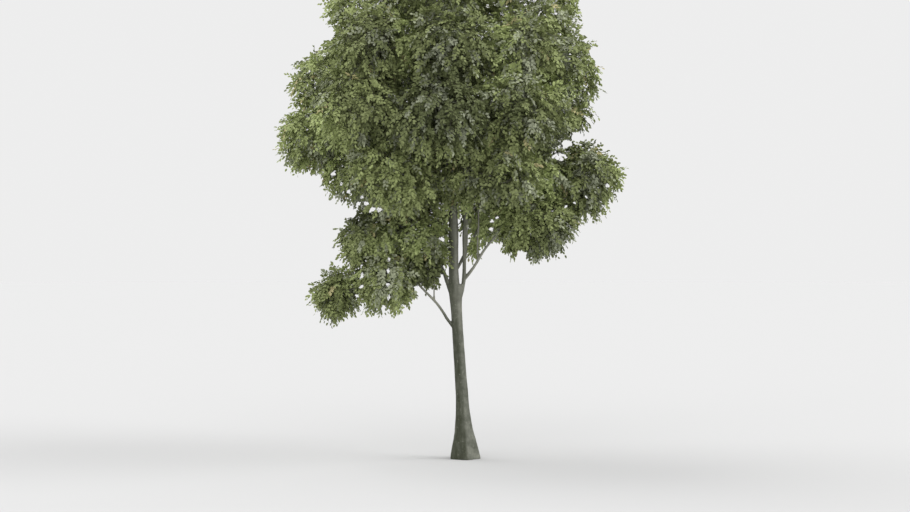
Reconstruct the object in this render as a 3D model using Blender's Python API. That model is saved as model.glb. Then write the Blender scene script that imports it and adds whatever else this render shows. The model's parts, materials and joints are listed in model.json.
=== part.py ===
"""An american beech rooted in level ground: the trunk from its flat cut at the ground to its fork, the boughs below
the crown, and the crown as separate masses of foliage.

Metres, +Z up. The origin is the middle of the flat cut. The front of the tree faces -Y, and angles round the trunk
are in degrees from +X, counted anticlockwise from above, so the front is at 270.
"""

import math
from typing import NamedTuple

import bmesh
import bpy
from mathutils import Vector, noise

GAP = 0.0003  # clear space between pieces that touch

# The trunk
FORK_HEIGHT = 5.75
TRUNK_LEAN = 0.047  # metres to the left for each metre of height
TRUNK_SWAY = 0.025
BOLE_RADIUS = 0.212  # of the bole alone at the ground, without the root flare
FORK_RADIUS = 0.172
FORK_SWELL = 0.42  # how much wider than deep the fork is
FORK_SWELL_HEIGHT = 0.55  # the length of bole over which it widens
FLARE_SPREAD = 0.27  # how far the roots stand out of the bole at the ground
FLARE_HEIGHT = 0.92
ROOT_RIDGES = 5
RIDGE_SHARE = 0.17
RIDGE_TURN = 0.5  # radians
FLARE_BIAS = 0.10  # the flare reaches further on the right than on the left
TRUNK_SIDES = 18
TRUNK_RINGS = 12

# The boughs
BOUGH_SIDES = 8
BOUGH_RINGS = 7

# The foliage
MASS_SIDES = 11
MASS_RINGS = 8
CORE_SIDES = 8  # the masses at the heart of the crown hardly show
CORE_RINGS = 6
UNEVEN_SHARE = 0.17  # how far a mass's surface wanders, as a share of its radius
UNEVEN_STEP = 1.15  # metres from one swelling to the next
REACH_SLACK = 1.3  # how much further than its plain size an uneven mass may reach
LEAST_SHARE, MOST_SHARE = 0.15, 0.85  # where the cut between two masses may lie on the line between their middles


class Bough(NamedTuple):
    """One tapering limb. It leaves its carrier at a height and ends `reach` metres out, at height `top`."""

    carrier: str
    leaves_at: float
    toward: float
    reach: float
    top: float
    foot_radius: float
    tip_radius: float
    spread_early: float  # 1 is straight; more leaves the carrier flatter and then turns up
    waver: float


class Mass(NamedTuple):
    """One mass of foliage: where its middle lies, and its half sizes across, front to back and up."""

    x: float
    y: float
    z: float
    wide: float
    deep: float
    tall: float


BOUGHS = {
    "stem_left": Bough("trunk", 5.35, 180, 0.10, 9.3, 0.166, 0.150, 2.6, 0.02),
    "stem_right": Bough("trunk", 4.95, 8, 0.28, 9.2, 0.062, 0.056, 7.0, 0.02),
    "bough_left_upright": Bough("trunk", 5.10, 176, 0.62, 6.9, 0.075, 0.045, 1.3, 0.02),
    "bough_low_left": Bough("trunk", 4.17, 184, 1.40, 5.86, 0.056, 0.040, 0.88, 0.03),
    "riser_low_left": Bough("bough_low_left", 5.20, 100, 0.08, 6.6, 0.034, 0.026, 1.0, 0.02),
    "riser_stem_right": Bough("stem_right", 6.40, 5, 0.11, 8.9, 0.030, 0.026, 5.0, 0.01),
    "bough_back_right": Bough("stem_left", 6.05, 35, 0.95, 7.55, 0.055, 0.042, 1.0, 0.01),
    "bough_low_right": Bough("stem_right", 5.90, 352, 1.35, 7.75, 0.052, 0.040, 1.0, 0.03),
    "riser_low_right": Bough("bough_low_right", 6.55, 90, 0.05, 9.0, 0.036, 0.030, 1.0, 0.03),
}

MASSES = {
    # The low limb on the left carries four masses below the crown.
    "low_left_tip": Mass(-4.22, 0.10, 5.36, 0.80, 1.00, 0.96),
    "low_left_drop": Mass(-2.50, -0.30, 5.90, 1.08, 1.35, 1.15),
    "low_left_top": Mass(-2.98, 0.30, 7.15, 1.25, 1.75, 1.05),
    "low_left_inner": Mass(-1.42, 0.25, 6.85, 0.96, 1.45, 1.50),
    # The low limb on the right carries three.
    "low_right_inner": Mass(0.82, 0.75, 7.88, 0.82, 1.05, 0.95),
    "low_right": Mass(2.35, -0.10, 7.80, 1.38, 1.95, 1.16),
    "low_right_tip": Mass(3.96, 0.20, 9.14, 1.20, 1.60, 1.30),
    # The skirt of the crown
    "skirt_left": Mass(-3.45, 0.00, 9.32, 1.25, 1.35, 1.00),
    "skirt_left_inner": Mass(-1.95, 0.10, 8.75, 1.30, 1.25, 1.05),
    "skirt_front_left": Mass(-2.20, -2.50, 9.30, 1.50, 1.42, 1.50),
    "skirt_front_right": Mass(1.00, -2.55, 9.50, 1.60, 1.42, 1.22),
    "skirt_right": Mass(2.72, -0.10, 9.45, 1.18, 1.50, 1.10),
    "skirt_back_right": Mass(1.80, 2.55, 9.25, 1.50, 1.42, 1.50),
    "skirt_back_left": Mass(-2.15, 2.60, 9.35, 1.58, 1.42, 1.50),
    # The waist, where the crown is widest
    "waist_left": Mass(-5.02, -0.10, 10.62, 1.32, 1.50, 1.15),
    "waist_front_left": Mass(-3.30, -3.00, 11.20, 1.60, 1.50, 1.34),
    "waist_front": Mass(-0.75, -3.90, 11.00, 1.60, 1.40, 1.40),
    "waist_front_right": Mass(1.75, -3.05, 11.15, 1.55, 1.50, 1.40),
    "waist_right": Mass(2.90, 0.05, 11.50, 1.30, 1.65, 1.18),
    "waist_back_right": Mass(1.85, 3.10, 11.25, 1.60, 1.50, 1.40),
    "waist_back": Mass(-0.70, 3.90, 11.15, 1.60, 1.40, 1.40),
    "waist_back_left": Mass(-3.25, 3.10, 11.30, 1.62, 1.50, 1.40),
    # The shoulder
    "shoulder_left": Mass(-4.50, 0.15, 12.38, 1.22, 1.55, 1.24),
    "shoulder_front_left": Mass(-2.80, -2.65, 13.25, 1.50, 1.45, 1.30),
    "shoulder_front": Mass(-0.55, -3.25, 13.15, 1.50, 1.35, 1.40),
    "shoulder_front_right": Mass(1.75, -2.40, 13.15, 1.50, 1.40, 1.35),
    "shoulder_right": Mass(3.28, 0.10, 13.00, 1.22, 1.55, 1.22),
    "shoulder_back_right": Mass(1.75, 2.50, 13.25, 1.55, 1.45, 1.35),
    "shoulder_back": Mass(-0.70, 3.30, 13.30, 1.55, 1.35, 1.40),
    "shoulder_back_left": Mass(-2.85, 2.60, 13.35, 1.50, 1.45, 1.30),
    # The top, which narrows to a round head
    "upper_left": Mass(-3.45, 0.05, 13.90, 1.12, 1.25, 1.00),
    "head_left": Mass(-3.08, -0.15, 14.98, 1.60, 1.45, 1.08),
    "head_front": Mass(-0.75, -1.80, 15.15, 1.60, 1.40, 1.25),
    "head_right": Mass(2.34, 0.00, 14.70, 1.65, 1.55, 1.25),
    "head_back": Mass(-0.60, 1.85, 15.20, 1.60, 1.40, 1.25),
    "crown_top": Mass(-0.55, 0.00, 15.85, 1.90, 1.55, 1.10),
    # The heart of the crown, round the stems
    "core_low": Mass(-0.10, 0.00, 9.40, 1.45, 1.65, 1.55),
    "core_middle": Mass(-0.70, 0.00, 11.55, 2.40, 2.30, 1.60),
    "core_high": Mass(-0.60, 0.00, 13.70, 2.10, 1.80, 1.40),
}

# Materials: colour as sRGB hex. Masses take theirs by the first word of their name.
BARK_COLOUR, BARK_ROUGHNESS = "7A7B6E", 0.85
LEAF_ROUGHNESS = 0.70
LEAF_COLOURS = {
    "low": "5F6647",
    "skirt": "565C3F",
    "waist": "5E653F",
    "shoulder": "626A42",
    "upper": "687149",
    "head": "60683F",
    "crown": "646D43",
    "core": "494E34",
}


def clear_scene():
    for thing in list(bpy.data.objects):
        bpy.data.objects.remove(thing)


def linear(hex_colour):
    """An sRGB hex colour as linear numbers with alpha."""
    shares = [int(hex_colour[i : i + 2], 16) / 255 for i in (0, 2, 4)]
    return [s / 12.92 if s <= 0.04045 else ((s + 0.055) / 1.055) ** 2.4 for s in shares] + [1.0]


def make_material(name, hex_colour, roughness):
    material = bpy.data.materials.new(name)
    material.use_nodes = True
    shader = material.node_tree.nodes["Principled BSDF"]
    shader.inputs["Base Color"].default_value = linear(hex_colour)
    shader.inputs["Roughness"].default_value = roughness
    shader.inputs["Metallic"].default_value = 0.0
    return material


def add_object(name, bm, material=None):
    """Puts a bmesh into the scene as one object. With no material it is a hidden cutter."""
    bmesh.ops.recalc_face_normals(bm, faces=bm.faces[:])
    mesh = bpy.data.meshes.new(name)
    bm.to_mesh(mesh)
    bm.free()
    thing = bpy.data.objects.new(name, mesh)
    bpy.context.scene.collection.objects.link(thing)
    if material is None:
        thing.hide_render = True
        thing.display_type = "WIRE"
    else:
        mesh.materials.append(material)
        mesh.shade_smooth()
    return thing


def tube(sections, sides):
    """A closed tube. Each section is a function that gives the point at a share of the way round it."""
    bm = bmesh.new()
    side = bm.verts.layers.int.new("side")
    ring = bmesh.ops.create_circle(bm, segments=sides, radius=1.0)["verts"]
    for i, corner in enumerate(ring):
        corner[side] = i
        corner.co = sections[0](i / sides)
    edges = bm.edges[:]
    bmesh.ops.edgeloop_fill(bm, edges=edges)
    for section in sections[1:]:
        grown = bmesh.ops.extrude_edge_only(bm, edges=edges)["geom"]
        for corner in grown:
            if isinstance(corner, bmesh.types.BMVert):
                corner.co = section(corner[side] / sides)
        edges = [e for e in grown if isinstance(e, bmesh.types.BMEdge) and len(e.link_faces) == 1]
    bmesh.ops.edgeloop_fill(bm, edges=edges)
    bmesh.ops.triangulate(bm, faces=bm.faces[:])
    return bm


def between(low, high, share):
    return low + (high - low) * share


# The trunk


def trunk_middle(height):
    """The trunk's middle at a height: it leans to the left and sways a little."""
    sway = TRUNK_SWAY * math.sin(height * 0.9)
    return Vector((-TRUNK_LEAN * height + sway, 1.6 * sway, height))


def trunk_radius(height, angle):
    """The bole, the root flare with its ridges, and the widening where the stems part."""
    bole = between(BOLE_RADIUS, FORK_RADIUS, height / FORK_HEIGHT)
    swell = FORK_SWELL * math.exp(-(((FORK_HEIGHT - height) / FORK_SWELL_HEIGHT) ** 2))
    flare = FLARE_SPREAD * math.exp(-((height / FLARE_HEIGHT) ** 1.5))
    ridges = 1 + RIDGE_SHARE * math.cos(ROOT_RIDGES * angle + RIDGE_TURN) + FLARE_BIAS * math.cos(angle)
    return bole * (1 + swell * math.cos(angle) ** 2) + flare * ridges


def trunk_section(height):
    def point(share):
        angle = math.tau * share
        out = Vector((math.cos(angle), math.sin(angle), 0))
        return trunk_middle(height) + out * trunk_radius(height, angle)

    return point


def trunk_shape(grow=0.0):
    """The trunk, with rings closer together in the flare. grow makes a cutter that much wider all round."""
    heights = [FORK_HEIGHT * (i / TRUNK_RINGS) ** 1.6 for i in range(TRUNK_RINGS + 1)]
    bm = tube([trunk_section(h) for h in heights], TRUNK_SIDES)
    widen(bm, grow)
    return bm


def widen(bm, grow):
    """Moves every face out by about `grow`."""
    if grow:
        bmesh.ops.recalc_face_normals(bm, faces=bm.faces[:])
        bm.normal_update()
        moved = {v: v.co + v.normal * grow * v.calc_shell_factor() for v in bm.verts}
        for corner, place in moved.items():
            corner.co = place


# The boughs


def carrier_point(carrier, height):
    """The point at a height on the middle line of the trunk or of another bough."""
    if carrier == "trunk":
        return trunk_middle(height)
    bough = BOUGHS[carrier]
    share = (height - bough.leaves_at) / (bough.top - bough.leaves_at)
    return bough_point(bough, share)


def bough_point(bough, share):
    """The point at a share of the way up a bough."""
    foot = carrier_point(bough.carrier, bough.leaves_at)
    angle = math.radians(bough.toward)
    out = Vector((math.cos(angle), math.sin(angle), 0))
    across = Vector((-out.y, out.x, 0))
    gone = bough.reach * (1 - (1 - share) ** bough.spread_early if share < 1 else 1)
    waver = bough.waver * math.sin(math.tau * 1.4 * share)
    height = between(bough.leaves_at, bough.top, share)
    return Vector((foot.x, foot.y, height)) + out * (gone + waver) + across * 0.6 * waver


def bough_shape(bough, grow=0.0):
    """The limb from inside its carrier to inside the mass that it enters."""
    shares = [i / BOUGH_RINGS for i in range(BOUGH_RINGS + 1)]
    line = [bough_point(bough, s) for s in shares]
    ahead = [(line[min(i + 1, BOUGH_RINGS)] - line[max(i - 1, 0)]).normalized() for i in range(len(line))]
    sections = []
    turn = ahead[0].to_track_quat("Z", "Y")
    for i, middle in enumerate(line):
        if i:
            turn = ahead[i - 1].rotation_difference(ahead[i]) @ turn
        radius = between(bough.foot_radius, bough.tip_radius, shares[i])
        sections.append(bough_section(middle, turn, radius))
    bm = tube(sections, BOUGH_SIDES)
    widen(bm, grow)
    return bm


def bough_section(middle, turn, radius):
    def point(share):
        angle = math.tau * share
        return middle + turn @ Vector((math.cos(angle) * radius, math.sin(angle) * radius, 0))

    return point


def cut_away(thing, cutter):
    cut = thing.modifiers.new("cut", "BOOLEAN")
    cut.operation = "DIFFERENCE"
    cut.solver = "EXACT"
    cut.object = cutter


# The foliage


def mass_middle(mass):
    return Vector((mass.x, mass.y, mass.z))


def plain_radius(mass, way):
    """The plain ellipsoid's radius along a direction."""
    return 1 / math.sqrt((way.x / mass.wide) ** 2 + (way.y / mass.deep) ** 2 + (way.z / mass.tall) ** 2)


def uneven_point(mass, way):
    """The point of a mass's swelling surface in a direction from its middle."""
    plain = mass_middle(mass) + way * plain_radius(mass, way)
    swelling = noise.noise(plain / UNEVEN_STEP) + 0.5 * noise.noise(plain * 2.3 / UNEVEN_STEP)
    return mass_middle(mass) + way * plain_radius(mass, way) * (1 + UNEVEN_SHARE * 1.6 * swelling)


def cut_share(mass, other):
    """Where the cut between two masses lies on the line between their middles, or None if they are far apart."""
    line = mass_middle(other) - mass_middle(mass)
    way = line.normalized()
    own, theirs = plain_radius(mass, way), plain_radius(other, way)
    most = max(mass[3:]) + max(other[3:])
    if line.length > most * REACH_SLACK:
        return None
    share = (line.length_squared + own**2 - theirs**2) / (2 * line.length_squared)
    return min(max(share, LEAST_SHARE), MOST_SHARE)


def mass_shape(name):
    """An uneven ball, cut flat where a neighbour meets it."""
    mass = MASSES[name]
    bm = bmesh.new()
    sides, rings = (CORE_SIDES, CORE_RINGS) if name.startswith("core") else (MASS_SIDES, MASS_RINGS)
    bmesh.ops.create_uvsphere(bm, u_segments=sides, v_segments=rings, radius=1.0)
    bmesh.ops.triangulate(bm, faces=bm.faces[:])
    for corner in bm.verts:
        corner.co = uneven_point(mass, corner.co.normalized())
    for other_name, other in MASSES.items():
        share = cut_share(mass, other) if other_name != name else None
        if share is None:
            continue
        line = mass_middle(other) - mass_middle(mass)
        place = mass_middle(mass) + line * share - line.normalized() * GAP / 2
        cut_flat(bm, place, line.normalized())
    return bm


def cut_flat(bm, place, normal):
    """Cuts off what lies beyond a plane and closes the cut."""
    found = bmesh.ops.bisect_plane(
        bm, geom=bm.verts[:] + bm.edges[:] + bm.faces[:], dist=1e-6, plane_co=place, plane_no=normal, clear_outer=True
    )
    edges = [e for e in found["geom_cut"] if isinstance(e, bmesh.types.BMEdge)]
    if edges:
        bmesh.ops.edgenet_fill(bm, edges=edges)


def boxes_meet(one, other):
    """True if the upright boxes round two objects touch."""
    sides = []
    for thing in (one, other):
        points = [corner.co for corner in thing.data.vertices]
        sides.append([(min(p[k] for p in points), max(p[k] for p in points)) for k in range(3)])
    return all(a[0] <= b[1] and b[0] <= a[1] for a, b in zip(*sides))


def build():
    clear_scene()
    add_object("trunk", trunk_shape(), make_material("trunk bark", BARK_COLOUR, BARK_ROUGHNESS))
    for name in MASSES:
        colour = LEAF_COLOURS[name.split("_")[0]]
        add_object(name, mass_shape(name), make_material(f"{name} leaves", colour, LEAF_ROUGHNESS))
    # Every limb is cut where it leaves an earlier limb and where it enters a mass.
    cutters = [add_object("trunk_cutter", trunk_shape(GAP))]
    for name in MASSES:
        swollen = mass_shape(name)
        widen(swollen, GAP)
        cutters.append(add_object(f"{name}_cutter", swollen))
    for name, bough in BOUGHS.items():
        limb = add_object(name, bough_shape(bough), make_material(f"{name} bark", BARK_COLOUR, BARK_ROUGHNESS))
        for cutter in cutters:
            if boxes_meet(limb, cutter):
                cut_away(limb, cutter)
        cutters.append(add_object(f"{name}_cutter", bough_shape(bough, GAP)))


build()
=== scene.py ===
"""The looks of the american beech: bark over the trunk and boughs, and boughs, twigs and leaves grown into
each mass of foliage by one seeded branching rule.

Metres, +Z up. The front of the tree faces -Y. The way that a limb goes is in degrees from +X, anticlockwise
from above.
"""

import json
import math
from typing import NamedTuple

import bmesh
import bpy
import numpy as np
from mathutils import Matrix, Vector, noise

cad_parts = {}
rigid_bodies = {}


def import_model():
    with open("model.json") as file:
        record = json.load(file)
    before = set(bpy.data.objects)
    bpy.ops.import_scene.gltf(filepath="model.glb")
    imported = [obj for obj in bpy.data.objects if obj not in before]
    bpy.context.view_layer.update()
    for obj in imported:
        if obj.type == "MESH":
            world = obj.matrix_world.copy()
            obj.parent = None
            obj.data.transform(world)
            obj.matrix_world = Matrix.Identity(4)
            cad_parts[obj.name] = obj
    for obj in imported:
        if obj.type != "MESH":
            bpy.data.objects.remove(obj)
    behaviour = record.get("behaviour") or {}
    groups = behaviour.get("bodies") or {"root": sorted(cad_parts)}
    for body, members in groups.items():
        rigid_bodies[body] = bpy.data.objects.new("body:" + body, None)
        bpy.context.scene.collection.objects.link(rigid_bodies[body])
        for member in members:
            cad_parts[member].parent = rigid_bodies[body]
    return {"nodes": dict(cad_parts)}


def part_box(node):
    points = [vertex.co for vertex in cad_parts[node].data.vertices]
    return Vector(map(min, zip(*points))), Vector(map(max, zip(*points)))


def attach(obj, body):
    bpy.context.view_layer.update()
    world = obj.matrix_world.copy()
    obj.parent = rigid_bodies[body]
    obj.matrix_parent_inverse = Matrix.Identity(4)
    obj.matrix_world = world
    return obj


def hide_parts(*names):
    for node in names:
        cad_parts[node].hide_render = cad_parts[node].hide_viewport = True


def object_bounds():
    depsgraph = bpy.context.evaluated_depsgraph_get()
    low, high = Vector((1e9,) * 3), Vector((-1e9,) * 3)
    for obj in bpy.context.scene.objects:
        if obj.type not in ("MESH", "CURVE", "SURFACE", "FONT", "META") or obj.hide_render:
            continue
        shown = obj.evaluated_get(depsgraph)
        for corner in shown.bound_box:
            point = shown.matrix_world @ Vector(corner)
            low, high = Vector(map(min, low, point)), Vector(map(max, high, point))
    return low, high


for thing in list(bpy.data.objects):
    bpy.data.objects.remove(thing)
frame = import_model()
cad_box = [list(map(float, corner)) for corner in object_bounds()]

SEED = 1862
UP = np.array([0.0, 0.0, 1.0])

# The trunk and the boughs, with the sizes of the part's own solids
FORK_HEIGHT = 5.75
TRUNK_LEAN = 0.047
TRUNK_SWAY, SWAY_PER_M, SWAY_DEEP = 0.025, 0.9, 1.6  # metres, radians a metre, and its share front to back
BOLE_RADIUS, FORK_RADIUS = 0.212, 0.172
FORK_SWELL, FORK_SWELL_HEIGHT = 0.42, 0.55
FLARE_SPREAD, FLARE_HEIGHT, FLARE_POWER = 0.27, 0.92, 1.5
ROOT_RIDGES, RIDGE_SHARE, RIDGE_TURN = 5, 0.17, 0.5
FLARE_BIAS = 0.10
SIDE_ANGLE = 1.5  # radians round the trunk, where the skeleton reads its radius
WAVER_TURNS, WAVER_ACROSS = 1.4, 0.6  # the waves that a limb makes, and how much of them is sideways


class Bough(NamedTuple):
    """One limb: the height at which it leaves its carrier, which way it goes, how far out and how high it
    ends, its radii, how soon it spreads out and how far it wavers."""

    carrier: str
    leaves_at: float
    toward: float
    reach: float
    top: float
    foot_radius: float
    tip_radius: float
    spread_early: float
    waver: float


BOUGHS = {
    "stem_left": Bough("trunk", 5.35, 180, 0.10, 9.3, 0.166, 0.150, 2.6, 0.02),
    "stem_right": Bough("trunk", 4.95, 8, 0.28, 9.2, 0.062, 0.056, 7.0, 0.02),
    "bough_left_upright": Bough("trunk", 5.10, 176, 0.62, 6.9, 0.075, 0.045, 1.3, 0.02),
    "bough_low_left": Bough("trunk", 4.17, 184, 1.40, 5.86, 0.056, 0.040, 0.88, 0.03),
    "riser_low_left": Bough("bough_low_left", 5.20, 100, 0.08, 6.6, 0.034, 0.026, 1.0, 0.02),
    "riser_stem_right": Bough("stem_right", 6.40, 5, 0.11, 8.9, 0.030, 0.026, 5.0, 0.01),
    "bough_back_right": Bough("stem_left", 6.05, 35, 0.95, 7.55, 0.055, 0.042, 1.0, 0.01),
    "bough_low_right": Bough("stem_right", 5.90, 352, 1.35, 7.75, 0.052, 0.040, 1.0, 0.03),
    "riser_low_right": Bough("bough_low_right", 6.55, 90, 0.05, 9.0, 0.036, 0.030, 1.0, 0.03),
}

# Where the limbs run on inside the crown: the two leaders, and the masses that a low limb feeds
LEADER_TOPS = {"stem_left": (-0.75, 0.10, 15.7), "stem_right": (1.55, -0.15, 14.3)}
FED_BY = {
    "low_left_drop": "bough_low_left",
    "low_left_tip": "bough_low_left",
    "low_left_inner": "riser_low_left",
    "low_left_top": "bough_left_upright",
    "skirt_left_inner": "bough_left_upright",
    "low_right": "bough_low_right",
    "low_right_inner": "riser_low_right",
    "low_right_tip": "stem_right",
    "core_low": "riser_stem_right",
    "skirt_back_right": "bough_back_right",
}

# The branching rule, in orders: a limb into the mass, boughlets through it, then leafy twigs
ARCHES = {  # how each order runs: lift as a share of its length, metres from point to point, and wander
    "leader": (0.0, 0.40, 0.02),
    "limb": (0.07, 0.32, 0.025),
    "boughlet": (0.06, 0.24, 0.035),
    "twig": (0.04, 0.20, 0.05),
}
TRUNK_POINTS, BOUGH_POINTS = 24, 15
LEADER_FROM = 9  # the point of a stem from which limbs may leave it inside the crown
RIGHT_TIP_FROM = 7  # the same on the right stem, for the limb to the low mass at the right tip
LAST_FEET = 4  # how many of a low limb's last points may feed a mass
ENTRY_SHARE = 0.12  # how far from a mass's middle its limb ends, as a share of the way in
WELL_INSIDE = 0.7  # the part of a mass where boughlets may start, in squared half sizes
BOUGHLETS = 12  # for each mass
TWIGS_PER_M2 = 6.8  # leafy twigs for each square metre of a mass's surface
TWIG_SHARES = {"core_middle": 0.6, "core_high": 0.5, "low": 1.5, "skirt_left": 1.25}  # of that count
BOUGHLETS_COVERED, TWIGS_COVERED = 0.5, 0.38  # the share of tries on a mass's covered side that are kept
BOUGHLET_DEPTH = (0.35, 0.66)  # where they end, from a mass's middle (0) to its surface (1)
TWIG_DEPTH = (0.55, 1.0)
DEPTH_POWER = 0.7  # under 1, more of them end near the surface
TRIES_PER_END = 7
LOOK_PAST, COVERED_WITHIN = 1.12, 0.92  # a side is covered if a place that far out lies in another mass
TASSELS = (  # hanging bunches of twigs under a mass: the mass, across, deep, top and bottom, width
    ("low_right", 1.62, 0.0, 7.40, 7.05, 0.06),
    ("low_right", 2.33, 0.0, 7.25, 7.00, 0.02),
    ("low_right_inner", 0.38, 0.3, 7.35, 7.05, 0.05),
    ("shoulder_right", 4.12, 0.1, 12.90, 12.20, 0.08),
    ("waist_left", -5.12, 0.0, 10.00, 9.88, 0.16),
    ("low_left_inner", -0.84, 0.3, 8.30, 7.35, 0.06),
    ("low_left_inner", -0.90, -0.2, 7.90, 7.10, 0.06),
)
TASSEL_TWIGS = 7
TRIMS = (  # flat sides: the mass, the way that the side faces, and how far from its middle the twigs reach
    ("low_right_tip", (0.70, 0.0, 0.70), 0.76),
    ("low_left_tip", (-0.79, 0.0, 0.61), 0.45),
    ("low_right", (0.0, 0.0, -1.0), 0.48),
    ("low_left_tip", (0.60, 0.0, -0.80), 0.38),
    ("low_left_drop", (-0.60, 0.0, -0.80), 0.72),
    ("skirt_left", (-0.80, 0.0, -0.60), 0.74),
    ("waist_left", (-0.70, 0.0, 0.70), 0.88),
)
TOP_INSET, SIDE_INSET, UNDER_INSET = 0.06, 0.25, 0.50  # metres that twigs stop short of a mass's surface
DETOUR_COST = 0.30  # how much a twig prefers a short way back to the trunk over a near foothold
FALL_COST = 0.55  # how much it avoids a foothold above its own end
FALL_SLACK = 0.25  # a way that rises less steeply than this still counts as falling
TOO_NEAR, TOO_NEAR_COST = 0.12, 5  # metres, and what a foothold nearer than that costs
MOST_POINTS = 60000

# The thickness of limbs and twigs
TWIG_RADIUS = 0.0042
PIPE_POWER = 2.3  # radii to this power add up where limbs join
TAPER_SHARE, TAPER_STEP = 0.87, 0.001  # from point to point a limb keeps that share, or loses the step
FOOT_SWELL = 1.15  # how much thicker than its next point a limb may be at its foot
TUBE_SIDES = ((0.03, 8), (0.012, 6), (0.0, 3))  # over each radius, how many sides
BROWN_BELOW = 0.006  # the radius under which wood is young and brown
TUBE_ASIDE = (0.31, 0.87, 0.11)  # a direction that hardly any limb takes, to set a tube's first side by

# Leaves: a beech's leaf is an oval with a short point, set left and right of the shoot in one flat spray
LEAVES_PER_SPRAY = 8
SPRAYS_PER_TWIG = 4
SHOOT_LENGTH = 0.43
SHOOT_LENGTHS = (0.7, 1.25)  # the least and most, as a share of that
SHOOT_SAG = (0.05, 0.35)  # the least and most, as a share of the shoot's length
SHOOT_RADIUS = 0.0032
SHOOT_AHEAD, SHOOT_OUTWARD, SHOOT_STRAY = 0.30, 0.45, 0.32  # what turns it: its twig, the mass and chance
DROOP_LOW, DROOP_TOP = 0.70, 0.10  # how strongly shoots hang, in most of the crown and at its top
DROOP_FADE_FROM, DROOP_FADE = 13.5, 2.5  # metres up where that starts to change, and metres that it takes
FACE_UP, FACE_OUTWARD, FACE_STRAY = 0.36, 0.68, 0.34  # what turns a spray's face
LEAF_LENGTH = 0.135
LEAF_SIZES = (0.80, 1.05)  # as a share of that: a least size, and the size half way along a shoot
LEAF_SPREAD = (0.85, 1.15)  # and by chance
LEAF_WIDTH_SHARE = 0.62
LEAF_ANGLES = (1.25, 0.60)  # radians from the shoot, at its foot and towards its tip
LEAF_ANGLE_STRAY, LEAF_STRAY, LEAF_TILT_STRAY = 0.22, 0.24, 0.36
LEAF_DROOP = 0.16
SPRAYS_FROM = 0.42  # share of a twig's length that is bare of sprays
ROOM_SHARE = 0.025  # how far past the solids' box leaves may reach, as a share of its size
LEAF_OUTLINE = (  # share of the length, share of half the width, lift as a share of the length
    (0.00, 0.0, 0.00),
    (0.28, -0.95, 0.06),
    (0.70, -0.80, 0.05),
    (1.00, 0.0, -0.07),
    (0.70, 0.80, 0.05),
    (0.28, 0.95, 0.06),
)

# The tiers of the crown, each one piece of leaves and one of twigs
TIERS = ("low", "skirt", "waist_front", "waist_back", "shoulder_front", "shoulder_back", "head", "core")
TIER_SPLIT = 0.2  # metres back from the trunk where a tier's front ends

# The crown's middle and half sizes across and up, for its painted light and shade
CROWN_MIDDLE = (-0.15, 10.6)
CROWN_HALF = (5.3, 6.3)
# How pale a spray's leaves are, as painted light and shade: a start, what the painted rim light and a
# mass's lit surface add, and chance
LIGHT_START, LIGHT_RIM, LIGHT_OUTER, LIGHT_STRAY = 0.12, 0.50, 0.16, 0.04
RIM_POWER = 1.8  # how late the painted rim light pales the leaves on the way out to the sides
RIM_LOSS_LOW, RIM_LOW = 0.45, 0.20  # how much less painted rim light there is low in the crown, and what painted light being low adds
RIM_TOP, RIM_MOST = 0.9, 1.1  # what painted light the top adds, and the most of it all
WIDE_DRIFT, NARROW_DRIFT, GREY_DRIFT = (0.55, 1.5), (0.18, 0.9), (0.6, 0.8)  # metres across and up
WIDE_DRIFT_SHARE, NARROW_DRIFT_SHARE = 0.10, 0.12  # what they add to the paleness
DRIFT_STRENGTH = 1.6
DRIFT_STEPS = (17.3, 5.1, -9.7)  # how far apart the drifts lie in the noise
# Soft patches of painted light and painted shade on the crown, in metres: middle across and up, half width
# and half height
LIGHT_AND_SHADE_PATCHES = (  # and how much paler the leaves are there, as a share of the whole range of greens
    (0.0, 9.3, 4.6, 1.2, 0.25),  # painted light along the crown's lower edge
    (1.2, 13.2, 0.6, 1.5, 0.6),  # drifts and clumps that catch the light
    (0.5, 12.1, 0.5, 0.5, 0.5),
    (3.0, 12.2, 1.1, 0.6, 0.5),
    (-1.9, 13.3, 0.5, 1.5, 0.5),
    (-4.2, 10.6, 0.7, 1.3, 0.3),
    (-2.4, 9.9, 0.7, 0.5, 0.3),
    (1.1, 10.6, 0.4, 0.7, 0.3),
    (2.7, 9.2, 0.5, 0.6, 0.5),
    (0.3, 8.1, 1.3, 0.8, 0.6),
    (-1.9, 7.3, 1.0, 0.6, 0.7),
    (-2.7, 13.5, 0.8, 0.6, -0.3),  # hollows in shade
    (-0.7, 11.5, 1.2, 1.0, -0.2),
    (3.0, 10.5, 0.8, 0.7, -0.2),
    (4.0, 9.3, 0.8, 1.0, -0.3),
    (1.0, 9.0, 1.0, 0.4, -0.3),
    (-3.5, 8.0, 0.5, 0.5, -0.4),
    (-1.2, 6.2, 0.8, 1.0, -0.6),
    (2.8, 7.4, 0.9, 0.6, -0.3),
)
GREY_PATCHES = (
    (-4.4, 12.3, 0.4, 0.8),
    (-4.8, 10.3, 0.5, 0.5),
    (-3.4, 8.9, 0.7, 0.6),
    (1.8, 13.0, 0.4, 1.5),
    (3.4, 12.1, 0.7, 0.5),
    (-2.4, 6.3, 0.6, 0.6),
    (4.0, 9.2, 0.5, 0.6),
    (2.7, 7.3, 0.6, 0.4),
)
PATCH_CORE = 1.3  # over 1, a patch is at its full strength some way out from its middle
GREY_SHARE, GREY_MIX = 0.55, 0.30  # how grey the middle of such a patch is, and how mixed with green
GREY_DRIFT_LESS, GREY_FROM = 0.15, 0.5  # taken off the grey drift, and how dull a grey spray is
GREY_PALE_FROM = 0.45  # the painted paleness from which a grey spray takes the pale grey, its lit copy
WARM_SHARE, WARM_FROM = 0.02, 0.5  # how many sprays turn warm, and the least paleness of such a spray
UNDER_PAINTED_LIGHT = 0.55  # painted light: how much paler the leaves are made under the crown, close to the stems, where they lie in shade
UNDER_FROM, UNDER_FADE, UNDER_REACH = 8.7, 0.9, 4.2  # metres: top, the height it fades in over, half width

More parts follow.
